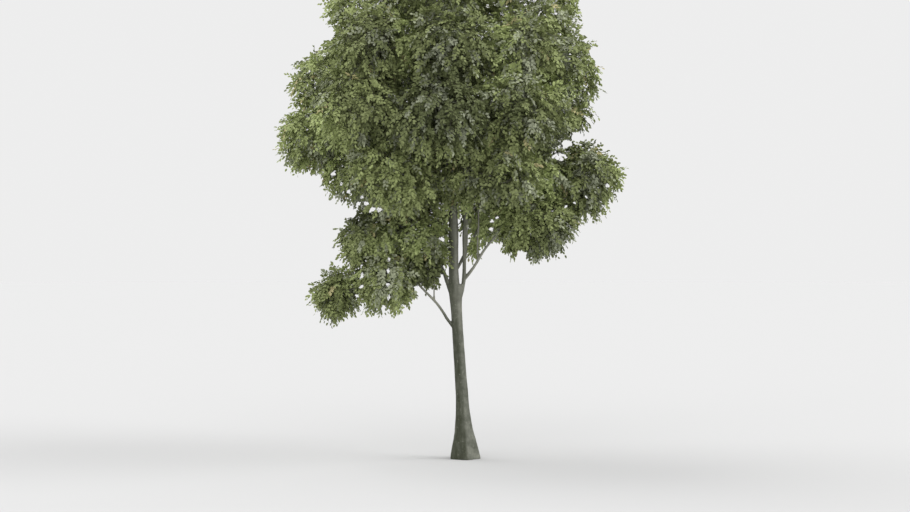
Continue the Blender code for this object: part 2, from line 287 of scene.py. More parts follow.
# Where sky shows through the crown from the front, in metres across and up
SKY_SEAMS = (  # strings of small gaps: from, to, how many, and a gap's half width and half height
    ((-4.3, 9.4), (-3.8, 8.8), 3, 0.06, 0.06),
    ((-3.9, 8.7), (-3.2, 8.6), 4, 0.05, 0.04),
    ((-3.4, 8.4), (-2.8, 8.2), 4, 0.10, 0.06),
    ((-3.3, 6.6), (-3.5, 5.4), 5, 0.05, 0.08),
    ((-2.4, 6.6), (-2.6, 4.9), 5, 0.06, 0.07),
    ((-0.7, 7.2), (-0.7, 6.4), 2, 0.07, 0.05),
    ((1.1, 8.0), (1.0, 7.6), 3, 0.06, 0.06),
    ((3.0, 9.9), (3.3, 10.0), 3, 0.09, 0.05),
    ((2.9, 8.1), (4.8, 9.0), 6, 0.05, 0.05),
)
SEAM_SWAY = 0.05  # metres that a gap strays from its seam
GAP_SPREAD = (0.7, 1.3)  # the least and most, as a share of a gap's size
POINTS_IN_GAP = 2  # a leaf, or a spray by its shoot, with this many of its points in gaps is left out
SKY_NOTCHES = (  # larger gaps, and bites out of the outline: middle, half width and half height
    (3.4, 10.4, 0.15, 0.10),
    (3.7, 10.6, 0.15, 0.15),
    (4.0, 15.0, 0.20, 0.25),
    (4.3, 13.4, 0.15, 0.20),
    (-4.5, 14.0, 0.20, 0.20),
    (-3.8, 8.1, 0.25, 0.15),
    (-1.5, 5.6, 0.15, 0.10),
    (-0.7, 5.9, 0.10, 0.20),
    (1.0, 7.0, 0.25, 0.10),
    (1.9, 6.7, 0.15, 0.15),
)

# The bark
ALGAE_AND_SHADE_FACES = (-0.80, -0.60, 0.0)  # the direction that the trunk's side with algae and painted shade faces
BARK_CELL = 0.018  # metres between the points of the bark's mesh
BARK_LOWEST = 0.012  # what lies below this is laid flat on the ground
TRUNK_RINGS, TRUNK_SIDES, STEM_SIDES, BOUGH_SIDES = 90, 64, 24, 16  # of the tubes under the bark
BARK_SMOOTHINGS = 3
SWELL_WAVES, SWELL_HEIGHT = 2.1, 0.010  # waves a metre, and metres that they stand out
FLUTE_WAVES, FLUTE_WAVES_UP, FLUTE_HEIGHT = 9, 0.8, 0.007  # waves a metre level, and up the trunk
FOLD_WAVES, FOLD_WAVES_UP, FOLD_HEIGHT = 6, 30, 0.0025

# The stage
FLOOR_REACH, FLOOR_SIDES = 400.0, 96
FLOOR_DROP = 0.001  # metres below the tree's foot
SKY_LIGHT = 0.85  # the radiance of the even studio sky; the floor is toned to look as bright far away
SUNS = (  # name, the direction that it comes from, its strength, and how wide it is in degrees
    ("key_right", (0.85, -0.10, 0.50), 1.7, 45),
    ("rim_left", (-0.60, 0.35, 0.80), 1.0, 50),
    ("front", (-0.15, -0.95, 0.35), 0.8, 70),
)
CAMERA_PLACE = (-0.30, -57.0, 6.68)
CAMERA_LENS = 68.3  # mm, on a 36 mm sensor


def linear(hex_colour):
    """An sRGB hex colour as linear numbers with alpha."""
    shares = [int(hex_colour[i : i + 2], 16) / 255 for i in (0, 2, 4)]
    return [s / 12.92 if s <= 0.04045 else ((s + 0.055) / 1.055) ** 2.4 for s in shares] + [1.0]


def between(low, high, share):
    return low + (high - low) * share


def add_object(name, data):
    thing = bpy.data.objects.new(name, data)
    bpy.context.scene.collection.objects.link(thing)
    return thing


# The trunk and boughs: the same lines and radii as the solids


def trunk_middle(height):
    sway = TRUNK_SWAY * math.sin(height * SWAY_PER_M)
    return Vector((-TRUNK_LEAN * height + sway, SWAY_DEEP * sway, height))


def trunk_radius(height, angle):
    bole = between(BOLE_RADIUS, FORK_RADIUS, height / FORK_HEIGHT)
    swell = FORK_SWELL * math.exp(-(((FORK_HEIGHT - height) / FORK_SWELL_HEIGHT) ** 2))
    flare = FLARE_SPREAD * math.exp(-((height / FLARE_HEIGHT) ** FLARE_POWER))
    ridges = 1 + RIDGE_SHARE * math.cos(ROOT_RIDGES * angle + RIDGE_TURN) + FLARE_BIAS * math.cos(angle)
    return bole * (1 + swell * math.cos(angle) ** 2) + flare * ridges


def bough_point(name, share):
    bough = BOUGHS[name]
    if bough.carrier == "trunk":
        foot = trunk_middle(bough.leaves_at)
    else:
        carrier = BOUGHS[bough.carrier]
        up_carrier = (bough.leaves_at - carrier.leaves_at) / (carrier.top - carrier.leaves_at)
        foot = bough_point(bough.carrier, up_carrier)
    angle = math.radians(bough.toward)
    out = Vector((math.cos(angle), math.sin(angle), 0))
    across = Vector((-out.y, out.x, 0))
    gone = bough.reach * (1 - (1 - share) ** bough.spread_early if share < 1 else 1)
    waver = bough.waver * math.sin(math.tau * WAVER_TURNS * share)
    height = between(bough.leaves_at, bough.top, share)
    return Vector((foot.x, foot.y, height)) + out * (gone + waver) + across * WAVER_ACROSS * waver


# The skeleton: every limb and twig as points, each with the point that it grows from


class Skeleton:
    def __init__(self):
        self.points = np.zeros((MOST_POINTS, 3))
        self.parent = np.full(MOST_POINTS, -1)
        self.way = np.zeros(MOST_POINTS)  # length of wood from here down to the ground
        self.given = np.zeros(MOST_POINTS)  # radius, where the solids give it
        self.group = np.full(MOST_POINTS, -1)  # the mass that it grows in, or -1 for the trunk and boughs
        self.count = 0

    def grow(self, start, points, group=-1, radii=None):
        """Adds points one after another from point number `start` on, and returns their numbers."""
        numbers = []
        for i, point in enumerate(points):
            n = self.count
            self.points[n] = point
            self.parent[n] = start
            step = np.linalg.norm(point - self.points[start]) if start >= 0 else 0.0
            self.way[n] = (self.way[start] if start >= 0 else 0.0) + step
            self.given[n] = radii[i] if radii is not None else 0.0
            self.group[n] = group
            self.count = n + 1
            numbers.append(n)
            start = n
        return numbers

    def foothold(self, numbers, end):
        """The number of the point from which a limb to `end` grows best."""
        points = self.points[numbers]
        gap = end - points
        far = np.linalg.norm(gap, axis=1) + 1e-6
        fall = np.clip(-gap[:, 2] / far + FALL_SLACK, 0, None)
        cost = far * (1 + FALL_COST * fall) + DETOUR_COST * self.way[numbers]
        cost[far < TOO_NEAR] += TOO_NEAR_COST
        return int(numbers[int(np.argmin(cost))])


def arch(start, end, lift, step, wander, rng):
    """Points on an arching way from start, left out, to end."""
    run = end - start
    length = np.linalg.norm(run)
    count = max(2, round(length / step))
    share = (np.arange(1, count + 1) / count)[:, None]
    bow = UP * lift * length * 4 * share * (1 - share)
    sway = rng.normal(0, 1, (2, 3)) * wander * length
    swing = sway[0] * np.sin(math.pi * share)
    return start + run * share + bow + swing + sway[1] * np.sin(math.tau * share)


class Mass(NamedTuple):
    name: str
    middle: np.ndarray
    half: np.ndarray
    corners: np.ndarray  # of its faces, three to a face
    areas: np.ndarray


def read_mass(name):
    mesh = frame["nodes"][name].data
    mesh.calc_loop_triangles()
    places = np.empty(len(mesh.vertices) * 3)
    mesh.vertices.foreach_get("co", places)
    faces = np.empty(len(mesh.loop_triangles) * 3, int)
    mesh.loop_triangles.foreach_get("vertices", faces)
    corners = places.reshape(-1, 3)[faces.reshape(-1, 3)]
    edges = corners[:, 1:] - corners[:, :1]
    areas = np.linalg.norm(np.cross(edges[:, 0], edges[:, 1]), axis=1) / 2
    low, high = np.array(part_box(name))
    return Mass(name, (low + high) / 2, (high - low) / 2, corners, areas)


def scatter(mass, count, depth, masses, rng, covered_share):
    """Ends for limbs, spread evenly through a mass between two depths, most of them on its open side."""
    tries = count * TRIES_PER_END
    face = rng.choice(len(mass.areas), tries, p=mass.areas / mass.areas.sum())
    a, b = rng.random((2, tries, 1))
    flip = (a + b) > 1
    a, b = np.where(flip, 1 - a, a), np.where(flip, 1 - b, b)
    corners = mass.corners[face]
    skin = corners[:, 0] + a * (corners[:, 1] - corners[:, 0]) + b * (corners[:, 2] - corners[:, 0])
    beyond = mass.middle + (skin - mass.middle) * LOOK_PAST
    covered = np.zeros(tries, bool)
    for other in masses:
        if other.name != mass.name:
            covered |= (((beyond - other.middle) / other.half) ** 2).sum(1) < COVERED_WITHIN
    keep = ~covered | (rng.random(tries) < covered_share)
    skin, open_side = skin[keep], ~covered[keep, None]
    share = between(depth[0], depth[1], rng.random((len(skin), 1)) ** DEPTH_POWER)
    ray = skin - mass.middle
    reach = np.linalg.norm(ray, axis=1, keepdims=True)
    inset = np.interp(ray[:, 2:] / reach, (-1, 0, 1), (UNDER_INSET, SIDE_INSET, TOP_INSET))
    ends = mass.middle + ray * share * (1 - open_side * inset / reach)
    chosen = [0]
    room = np.linalg.norm(ends - ends[0], axis=1)
    while len(chosen) < min(count, len(ends)):
        chosen.append(int(np.argmax(room)))
        room = np.minimum(room, np.linalg.norm(ends - ends[chosen[-1]], axis=1))
    return ends[chosen], share[chosen, 0]


def trimmed(mass, ends):
    """The twigs' ends, drawn in where the mass has a flat side."""
    for name, toward, limit in TRIMS:
        if name == mass.name:
            toward = unit(np.array(toward))
            beyond = np.clip((ends - mass.middle) @ toward - limit, 0, None)
            ends = ends - beyond[:, None] * toward
    return ends


def with_tassels(mass, ends, depths, rng):
    """The twigs' ends and depths, and those of the bunches that hang from the mass."""
    for name, across, deep, top, bottom, wide in TASSELS:
        if name == mass.name:
            hang = np.array([across, deep, 0]) + rng.normal(0, wide, (TASSEL_TWIGS, 3))
            hang[:, 2] = np.linspace(top, bottom, TASSEL_TWIGS)
            ends = np.concatenate([ends, hang])
            depths = np.concatenate([depths, np.ones(TASSEL_TWIGS)])
    return ends, depths


def grow_frame(rng):
    """The trunk, the boughs and the leaders: the skeleton so far, and each limb's numbers in it."""
    tree = Skeleton()
    limb_numbers = {}
    heights = np.linspace(0, FORK_HEIGHT, TRUNK_POINTS)
    middles = [np.array(trunk_middle(h)) for h in heights]
    limb_numbers["trunk"] = tree.grow(-1, middles, radii=[trunk_radius(h, SIDE_ANGLE) for h in heights])
    for name, bough in BOUGHS.items():
        shares = np.linspace(0, 1, BOUGH_POINTS)
        points = [np.array(bough_point(name, s)) for s in shares]
        radii = [between(bough.foot_radius, bough.tip_radius, s) for s in shares]
        carrier = np.array(limb_numbers[bough.carrier])
        start = int(carrier[np.argmin(np.linalg.norm(tree.points[carrier] - points[0], axis=1))])
        limb_numbers[name] = tree.grow(start, points, radii=radii)
    for name, top in LEADER_TOPS.items():
        last = limb_numbers[name][-1]
        run = arch(tree.points[last], np.array(top), *ARCHES["leader"], rng)
        limb_numbers[name] += tree.grow(last, run)
    return tree, limb_numbers


def grow_tree(masses):
    """The whole skeleton, each limb's numbers, and the leafy twigs: (mass, depth share, numbers)."""
    rng = np.random.default_rng(SEED)
    tree, limb_numbers = grow_frame(rng)
    leaders = np.array(limb_numbers["stem_left"][LEADER_FROM:] + limb_numbers["stem_right"][LEADER_FROM:])
    twigs = []
    axis = tree.points[limb_numbers["stem_left"][-1]][:2]
    order = sorted(range(len(masses)), key=lambda i: np.linalg.norm(masses[i].middle[:2] - axis))
    for i in order:
        mass = masses[i]
        fed_by = FED_BY.get(mass.name)
        if fed_by is None:
            feet = leaders
        elif fed_by == "stem_right":
            feet = np.array(limb_numbers[fed_by][RIGHT_TIP_FROM:])
        else:
            feet = np.array(limb_numbers[fed_by][-LAST_FEET:])
        foot = tree.foothold(feet, mass.middle)
        way_in = tree.points[foot]
        entry = mass.middle + (way_in - mass.middle) * ENTRY_SHARE
        limb = tree.grow(foot, arch(way_in, entry, *ARCHES["limb"], rng), i)
        if fed_by and fed_by != "stem_right":
            limb_numbers[fed_by] += limb
        from_middle = (((tree.points[limb] - mass.middle) / mass.half) ** 2).sum(axis=1)
        inside = [n for n, far in zip(limb, from_middle) if far < WELL_INSIDE] or limb[-1:]
        ends, _ = scatter(mass, BOUGHLETS, BOUGHLET_DEPTH, masses, rng, BOUGHLETS_COVERED)
        ends = ends[np.argsort(np.linalg.norm(ends - mass.middle, axis=1))]
        for end in ends:
            foot = tree.foothold(np.array(inside), end)
            inside += tree.grow(foot, arch(tree.points[foot], end, *ARCHES["boughlet"], rng), i)
        share = TWIG_SHARES.get(mass.name, TWIG_SHARES.get(mass.name.split("_")[0], 1.0))
        count = round(TWIGS_PER_M2 * share * mass.areas.sum())
        ends, depths = scatter(mass, count, TWIG_DEPTH, masses, rng, TWIGS_COVERED)
        ends, depths = with_tassels(mass, trimmed(mass, ends), depths, rng)
        nearest = np.argsort(np.linalg.norm(ends - mass.middle, axis=1))
        for end, depth in zip(ends[nearest], depths[nearest]):
            foot = tree.foothold(np.array(inside), end)
            new = tree.grow(foot, arch(tree.points[foot], end, *ARCHES["twig"], rng), i)
            inside += new
            twigs.append((i, depth, new))
    return tree, limb_numbers, twigs


def pipe_radii(tree):
    """A limb's radius to the pipe power is the sum of those that it carries."""
    count = tree.count
    load = np.zeros(count)
    has_child = np.zeros(count, bool)
    has_child[tree.parent[:count][tree.parent[:count] >= 0]] = True
    load[~has_child] = TWIG_RADIUS**PIPE_POWER
    for n in range(count - 1, 0, -1):
        if tree.parent[n] >= 0:
            load[tree.parent[n]] += load[n]
    radii = load ** (1 / PIPE_POWER)
    return np.where(tree.given[:count] > 0, tree.given[:count], radii)


# Meshes joined from arrays


class Heap:
    """Points and faces of many small things, joined into one piece."""

    def __init__(self):
        self.points, self.faces, self.tints = [], [], []
        self.count = 0

    def add(self, points, faces, tints):
        """faces is a list of arrays, one for each number of corners, and tints gives their materials."""
        self.points.append(points)
        for block, tint in zip(faces, tints):
            self.faces.append(block + self.count)
            self.tints.append(np.broadcast_to(tint, len(block)))
        self.count += len(points)

    def piece(self, name, materials):
        points = np.concatenate(self.points)
        sizes = np.concatenate([np.full(len(block), block.shape[1]) for block in self.faces])
        corners = np.concatenate([block.ravel() for block in self.faces])
        mesh = bpy.data.meshes.new(name)
        mesh.vertices.add(len(points))
        mesh.vertices.foreach_set("co", points.astype(np.float32).ravel())
        mesh.loops.add(len(corners))
        mesh.loops.foreach_set("vertex_index", corners.astype(np.int32))
        mesh.polygons.add(len(sizes))
        mesh.polygons.foreach_set("loop_start", (np.cumsum(sizes) - sizes).astype(np.int32))
        mesh.polygons.foreach_set("material_index", np.concatenate(self.tints).astype(np.int32))
        for material in materials:
            mesh.materials.append(material)
        mesh.update(calc_edges=True)
        return add_object(name, mesh)


def unit(vectors):
    return vectors / np.maximum(np.linalg.norm(vectors, axis=-1, keepdims=True), 1e-9)


def twig_tube(line, radii, sides):
    """A tapering tube along a line, closed at its foot and drawn to a point at its tip."""
    ahead = unit(np.gradient(line, axis=0))
    aside = unit(np.cross(ahead, np.array(TUBE_ASIDE)))
    over = np.cross(ahead, aside)
    angle = (np.arange(sides) * math.tau / sides)[None, :, None]
    ring = aside[:-1, None] * np.cos(angle) + over[:-1, None] * np.sin(angle)
    points = (line[:-1, None] + ring * radii[:-1, None, None]).reshape(-1, 3)
    rows = len(line) - 1
    near = np.arange(sides)
    after = (near + 1) % sides
    starts = (np.arange(rows - 1) * sides)[:, None]
    walls = [starts + near, starts + after, starts + sides + after, starts + sides + near]
    walls = np.stack(walls, -1).reshape(-1, 4)
    last = (rows - 1) * sides
    tip = np.stack([last + near, last + after, np.full(sides, rows * sides)], -1)
    foot = near[::-1][None]
    return np.concatenate([points, line[-1:]]), [walls, tip, foot]


def chains_of(tree, radii):
    """The skeleton as runs of points, each run following the thickest limb on."""
    children = [[] for _ in range(tree.count)]
    for n in range(1, tree.count):
        if tree.parent[n] >= 0:
            children[tree.parent[n]].append(n)
    starts = [(0, -1)]
    while starts:
        n, foot = starts.pop()
        run = [foot] if foot >= 0 else []
        while True:
            run.append(n)
            if not children[n]:
                break
            ordered = sorted(children[n], key=lambda c: -radii[c])
            starts += [(c, n) for c in ordered[1:]]
            n = ordered[0]
        yield run


# Materials


def new_material(name, sockets):
    """A material with its shader's sockets set, and the shader."""
    material = bpy.data.materials.new(name)
    material.use_nodes = True
    skin = material.node_tree.nodes["Principled BSDF"]
    for socket, value in sockets.items():
        skin.inputs[socket].default_value = value
    return material, skin


def plain_leaf(name, hex_colour):
    """A leaf's skin in one plain colour: a soft waxy gloss over a matt blade. The colours are dealt out by
    spray, so that the crown is dappled with painted light and shade."""
    gloss = {"Roughness": 0.62, "IOR": 1.42, "Specular IOR Level": 0.30}
    material, _ = new_material(name, {"Base Color": linear(hex_colour), **gloss})
    material.use_backface_culling = False  # a leaf shows from both sides
    return material


# The eight greens are one leaf colour painted from shade to light; the two greys are a deep and a pale copy
# by the same painted light, and the warm one is a rare autumn tint.
LEAF_TINTS = (
    ("beech_leaf_shade", "616845"),
    ("beech_leaf_deep", "6D754D"),
    ("beech_leaf_olive", "7A8256"),
    ("beech_leaf_green", "868F5E"),
    ("beech_leaf_soft", "929C67"),
    ("beech_leaf_bright", "9EA970"),
    ("beech_leaf_pale", "AAB67A"),
    ("beech_leaf_young", "B8C487"),
    ("beech_leaf_grey_deep", "858A74"),
    ("beech_leaf_grey_pale", "A0A68A"),
    ("beech_leaf_warm", "B8B082"),
)
GREENS, GREY_DEEP, GREY_PALE, WARM_TINT = 8, 8, 9, 10
TWIG_TINTS = (("beech_twig_grey", "8F8F84"), ("beech_twig_brown", "6A6455"))


def add_node(tree, kind, settings=(), links=()):
    """Adds a node, sets its properties and sockets, and links sockets: (own input, node, its output)."""
    node = tree.nodes.new(kind)
    for name, value in dict(settings).items():
        if isinstance(name, str) and hasattr(node, name):
            setattr(node, name, value)
        else:
            node.inputs[name].default_value = value
    for socket, other, output in links:
        tree.links.new(other.outputs[output], node.inputs[socket])
    return node


def twig_bark(name, hex_colour):
    """A twig's thin smooth bark in one plain colour: dull grey, or the brown of the youngest wood."""
    gloss = {"Roughness": 0.75, "Specular IOR Level": 0.25}
    return new_material(name, {"Base Color": linear(hex_colour), **gloss})[0]


def beech_bark():
    """Living beech bark: thin, smooth and matt grey, clouded with lichen, darkened by green algae and
    painted shade down its front on the left, with level wrinkles, and paler, cleaner skin on the thin
    limbs."""
    material, skin = new_material("beech_bark", {"Specular IOR Level": 0.25})
    tree = material.node_tree
    place = add_node(tree, "ShaderNodeTexCoord")
    # Clouds of lichen, about 300 mm across
    clouds = add_node(
        tree,
        "ShaderNodeTexNoise",
        {"Scale": 3.2, "Detail": 6.0, "Roughness": 0.66},
        [("Vector", place, "Object")],
    )
    base = add_node(tree, "ShaderNodeValToRGB", {}, [("Fac", clouds, "Fac")])
    ramp = base.color_ramp
    ramp.elements[0].position, ramp.elements[0].color = 0.34, linear("4B4D42")
    ramp.elements[1].position, ramp.elements[1].color = 0.68, linear("7A7B70")
    middle = ramp.elements.new(0.5)
    middle.color = linear("62645A")
    # Thin limbs are paler, by their distance from the trunk's leaning middle line, and so is wood high up
    parts = add_node(tree, "ShaderNodeSeparateXYZ", {}, [("Vector", place, "Object")])
    aside = add_node(
        tree,
        "ShaderNodeMath",
        {"operation": "MULTIPLY_ADD", 1: TRUNK_LEAN},
        [(0, parts, "Z"), (2, parts, "X")],
    )
    level = add_node(tree, "ShaderNodeCombineXYZ", {}, [("X", aside, "Value"), ("Y", parts, "Y")])
    away = add_node(tree, "ShaderNodeVectorMath", {"operation": "LENGTH"}, [(0, level, "Vector")])
    thin = add_node(
        tree,
        "ShaderNodeMapRange",
        {"From Min": 0.26, "From Max": 0.60, "To Max": 0.75},
        [("Value", away, "Value")],
    )
    high = add_node(tree, "ShaderNodeMapRange", {"From Min": 3.0, "From Max": 4.2}, [("Value", parts, "Z")])
    side_limb = add_node(
        tree, "ShaderNodeMath", {"operation": "MULTIPLY"}, [(0, thin, "Result"), (1, high, "Result")]
    )
    above = add_node(
        tree,
        "ShaderNodeMapRange",
        {"From Min": 3.6, "From Max": 6.2, "To Max": 0.34},
        [("Value", parts, "Z")],
    )
    young = add_node(
        tree, "ShaderNodeMath", {"operation": "MAXIMUM"}, [(0, side_limb, "Value"), (1, above, "Result")]
    )
    clean = add_node(
        tree,
        "ShaderNodeMix",
        {"data_type": "RGBA", 7: linear("A5A598")},
        [(0, young, "Value"), (6, base, "Color")],
    )
    # Green algae and painted shade: a dark olive where the bark faces the front and the left, the trunk's
    # side in shade, broken up by tall streaks about 110 mm wide
    facing = add_node(
        tree,
        "ShaderNodeVectorMath",
        {"operation": "DOT_PRODUCT", 1: ALGAE_AND_SHADE_FACES},
        [(0, place, "Normal")],
    )
    algae_and_shade_side = add_node(
        tree, "ShaderNodeMapRange", {"From Min": 0.28, "From Max": 0.72}, [("Value", facing, "Value")]
    )
    tall = add_node(tree, "ShaderNodeMapping", {"Scale": (1.0, 1.0, 0.22)}, [("Vector", place, "Object")])
    streaks = add_node(
        tree,
        "ShaderNodeTexNoise",
        {"Scale": 9.0, "Detail": 4.0, "Roughness": 0.6},
        [("Vector", tall, "Vector")],
    )
    broken = add_node(
        tree,
        "ShaderNodeMapRange",
        {"From Min": 0.30, "From Max": 0.62, "To Min": 0.35, "To Max": 0.95},
        [("Value", streaks, "Fac")],
    )
    algae_and_shade_film = add_node(
        tree, "ShaderNodeMath", {"operation": "MULTIPLY"}, [(0, algae_and_shade_side, "Result"), (1, broken, "Result")]
    )
    old = add_node(tree, "ShaderNodeMapRange", {"To Min": 1.0, "To Max": 0.2}, [("Value", young, "Value")])
    algae_and_shade_film = add_node(
        tree, "ShaderNodeMath", {"operation": "MULTIPLY"}, [(0, algae_and_shade_film, "Value"), (1, old, "Result")]
    )
    # The dark olive stands for algae and for painted shade on the trunk's shaded left side
    green = add_node(
        tree,
        "ShaderNodeMix",
        {"data_type": "RGBA", 7: linear("393D2D")},
        [(0, algae_and_shade_film, "Value"), (6, clean, "Result")],
    )
    # Small pale crusts of lichen, about 60 mm across
    crusts = add_node(
        tree,
        "ShaderNodeTexNoise",
        {"Scale": 16.0, "Detail": 5.0, "Roughness": 0.7},
        [("Vector", place, "Object")],
    )
    spots = add_node(
        tree,
        "ShaderNodeMapRange",
        {"From Min": 0.60, "From Max": 0.66, "To Max": 0.35},
        [("Value", crusts, "Fac")],
    )
    spotted = add_node(
        tree,
        "ShaderNodeMix",
        {"data_type": "RGBA", 7: linear("A3A596")},
        [(0, spots, "Result"), (6, green, "Result")],
    )
    tree.links.new(spotted.outputs[2], skin.inputs["Base Color"])
    # Level wrinkles, about 14 mm apart
    flat = add_node(tree, "ShaderNodeMapping", {"Scale": (1.0, 1.0, 6.0)}, [("Vector", place, "Object")])
    wrinkles = add_node(
        tree,
        "ShaderNodeTexNoise",
        {"Scale": 12.0, "Detail": 4.0, "Roughness": 0.6},
        [("Vector", flat, "Vector")],
    )
    dents = add_node(
        tree, "ShaderNodeBump", {"Strength": 0.5, "Distance": 0.01}, [("Height", wrinkles, "Fac")]
    )
    tree.links.new(dents.outputs["Normal"], skin.inputs["Normal"])
    rough = add_node(
        tree, "ShaderNodeMapRange", {"To Min": 0.72, "To Max": 0.92}, [("Value", clouds, "Fac")]
    )
    tree.links.new(rough.outputs["Result"], skin.inputs["Roughness"])
    return material


# The trunk and the boughs as one skin of bark


def wood_tube(bm, line, radii, sides):
    """A closed tube: a circle drawn along a line. radii are numbers, or functions of the angle."""
    turn = (line[1] - line[0]).to_track_quat("Z", "Y")
    side = bm.verts.layers.int.get("side") or bm.verts.layers.int.new("side")
    ring = bmesh.ops.create_circle(bm, segments=sides, radius=1.0)["verts"]
    for k, v in enumerate(ring):
        v[side] = k
    edges = list({e for v in ring for e in v.link_edges})
    ahead = (line[1] - line[0]).normalized()
    for i, middle in enumerate(line):
        way = (line[min(i + 1, len(line) - 1)] - line[max(i - 1, 0)]).normalized()
        turn = ahead.rotation_difference(way) @ turn
        ahead = way
        if i:
            grown = bmesh.ops.extrude_edge_only(bm, edges=edges)["geom"]
            ring = [g for g in grown if isinstance(g, bmesh.types.BMVert)]
            new_edges = [g for g in grown if isinstance(g, bmesh.types.BMEdge)]
            edges = [e for e in new_edges if len(e.link_faces) == 1]
        for v in ring:
            angle = math.tau * v[side] / sides
            radius = radii[i](angle) if callable(radii[i]) else radii[i]
            offset = Vector((math.cos(angle) * radius, math.sin(angle) * radius, 0))
            v.co = middle + (offset if callable(radii[i]) else turn @ offset)
        if i == 0 or i == len(line) - 1:
            bmesh.ops.edgeloop_fill(bm, edges=edges)


def bark_piece(tree, limb_numbers, radii, material):
    bm = bmesh.new()
    heights = np.linspace(0, FORK_HEIGHT, TRUNK_RINGS)
    rings = [lambda angle, h=h: trunk_radius(h, angle) for h in heights]
    wood_tube(bm, [trunk_middle(h) for h in heights], rings, TRUNK_SIDES)
    # The trunk's tube ends flat at the fork, and the stems start inside it and rise out of it
    for name in BOUGHS:
        numbers = [n for n in limb_numbers[name] if tree.group[n] < 0]
        line = [Vector(tree.points[n]) for n in numbers]
        sides = STEM_SIDES if name.startswith("stem") else BOUGH_SIDES
        wood_tube(bm, line, [float(radii[n]) for n in numbers], sides)
    bmesh.ops.recalc_face_normals(bm, faces=bm.faces[:])
    mesh = bpy.data.meshes.new("bark_raw")
    bm.to_mesh(mesh)
    bm.free()
    raw = add_object("bark_raw", mesh)
    remesh = raw.modifiers.new("join", "REMESH")
    remesh.mode = "VOXEL"
    remesh.voxel_size = BARK_CELL
    graph = bpy.context.evaluated_depsgraph_get()
    joined = bpy.data.meshes.new_from_object(raw.evaluated_get(graph))
    bpy.data.objects.remove(raw)
    bm = bmesh.new()
    bm.from_mesh(joined)
    all_ways = {"use_axis_x": True, "use_axis_y": True, "use_axis_z": True}
    for _ in range(BARK_SMOOTHINGS):
        bmesh.ops.smooth_vert(bm, verts=bm.verts[:], factor=0.5, **all_ways)
    bm.normal_update()
    for v in bm.verts:
        v.co += v.normal * bark_relief(v.co)
    for v in bm.verts:
        if v.co.z < BARK_LOWEST:
            v.co.z = 0.0
    bmesh.ops.recalc_face_normals(bm, faces=bm.faces[:])
    bm.to_mesh(joined)
    bm.free()
    joined.materials.clear()
    joined.materials.append(material)
    joined.shade_smooth()
    return add_object("bark_trunk_and_boughs", joined)


def bark_relief(place):
    """How far the bark stands out at a place: slow swellings, flutes up the bole, and level folds."""
    flute_place = Vector((place.x * FLUTE_WAVES, place.y * FLUTE_WAVES, place.z * FLUTE_WAVES_UP))
    fold_place = Vector((place.x * FOLD_WAVES, place.y * FOLD_WAVES, place.z * FOLD_WAVES_UP))
    swell = noise.noise(place * SWELL_WAVES) * SWELL_HEIGHT
    flutes = noise.noise(flute_place) * FLUTE_HEIGHT
    folds = noise.noise(fold_place) * FOLD_HEIGHT
    return swell + flutes + folds


# Twigs and leaves


def tier_of(mass):
    first = mass.name.split("_")[0]
    if first in ("upper", "crown"):
        return "head"
    if first in ("waist", "shoulder"):
        return first + ("_front" if mass.middle[1] < TIER_SPLIT else "_back")
    return first


def twig_heaps(tree, radii, masses):
    """The limbs, boughlets and twigs of each tier as tapering tubes."""
    heaps = {tier: Heap() for tier in TIERS}
    for run in chains_of(tree, radii):
        own = [k for k, n in enumerate(run) if tree.group[n] >= 0]
        if not own:
            continue
        run = run[max(own[0] - 1, 0) :]
        thick = radii[run].copy()
        if len(run) < 2:
            continue
        thick[0] = min(thick[0], thick[1] * FOOT_SWELL)
        sides = next(count for over, count in TUBE_SIDES if thick[1] > over)
        points, faces = twig_tube(tree.points[run], thick, sides)
        brown = int(thick[1] < BROWN_BELOW)
        heaps[tier_of(masses[tree.group[run[-1]]])].add(points, faces, [brown] * 3)
    return heaps


def spray_frames(tree, twigs, masses, rng):
    """Where each spray starts, which way its shoot goes and which way its leaves face."""
    feet, ways, outs, mass_of, depth_of = [], [], [], [], []
    for i, depth, numbers in twigs:
        line = tree.points[[tree.parent[numbers[0]]] + numbers]
        ahead = unit(line[-1] - line[-2])
        for k in range(SPRAYS_PER_TWIG):
            share = 1.0
            if k:
                share -= (1 - SPRAYS_FROM) * (k - 1 + rng.random()) / (SPRAYS_PER_TWIG - 1)
            place = share * (len(line) - 1)
            before = min(int(place), len(line) - 2)
            foot = between(line[before], line[before + 1], place - before)
            feet.append(foot)
            ways.append(ahead)
            outs.append(unit((foot - masses[i].middle) / masses[i].half))
            mass_of.append(i)
            depth_of.append(depth)
    feet, ways, outs = np.array(feet), np.array(ways), np.array(outs)
    count = len(feet)
    droop = between(DROOP_LOW, DROOP_TOP, np.clip((feet[:, 2:] - DROOP_FADE_FROM) / DROOP_FADE, 0, 1))
    stray = rng.normal(0, SHOOT_STRAY, (count, 3))
    axis = unit(ways * SHOOT_AHEAD + outs * SHOOT_OUTWARD + stray - UP * droop)
    normal = UP * FACE_UP + outs * FACE_OUTWARD + rng.normal(0, FACE_STRAY, (count, 3))
    normal = unit(normal - axis * (normal * axis).sum(1, keepdims=True))
    return feet, axis, normal, np.cross(normal, axis), np.array(mass_of), np.array(depth_of)


def sky_gaps():
    """Every gap's middle across and up, half width and half height: the notches, and the small gaps strung
    along each seam by a seeded rule."""
    rng = np.random.default_rng(SEED + 2)
    gaps = list(SKY_NOTCHES)
    for start, end, count, wide, tall in SKY_SEAMS:
        for share in np.linspace(0, 1, count):
            middle = between(np.array(start), np.array(end), share) + rng.normal(0, SEAM_SWAY, 2)
            gaps.append((*middle, wide * rng.uniform(*GAP_SPREAD), tall * rng.uniform(*GAP_SPREAD)))
    return gaps


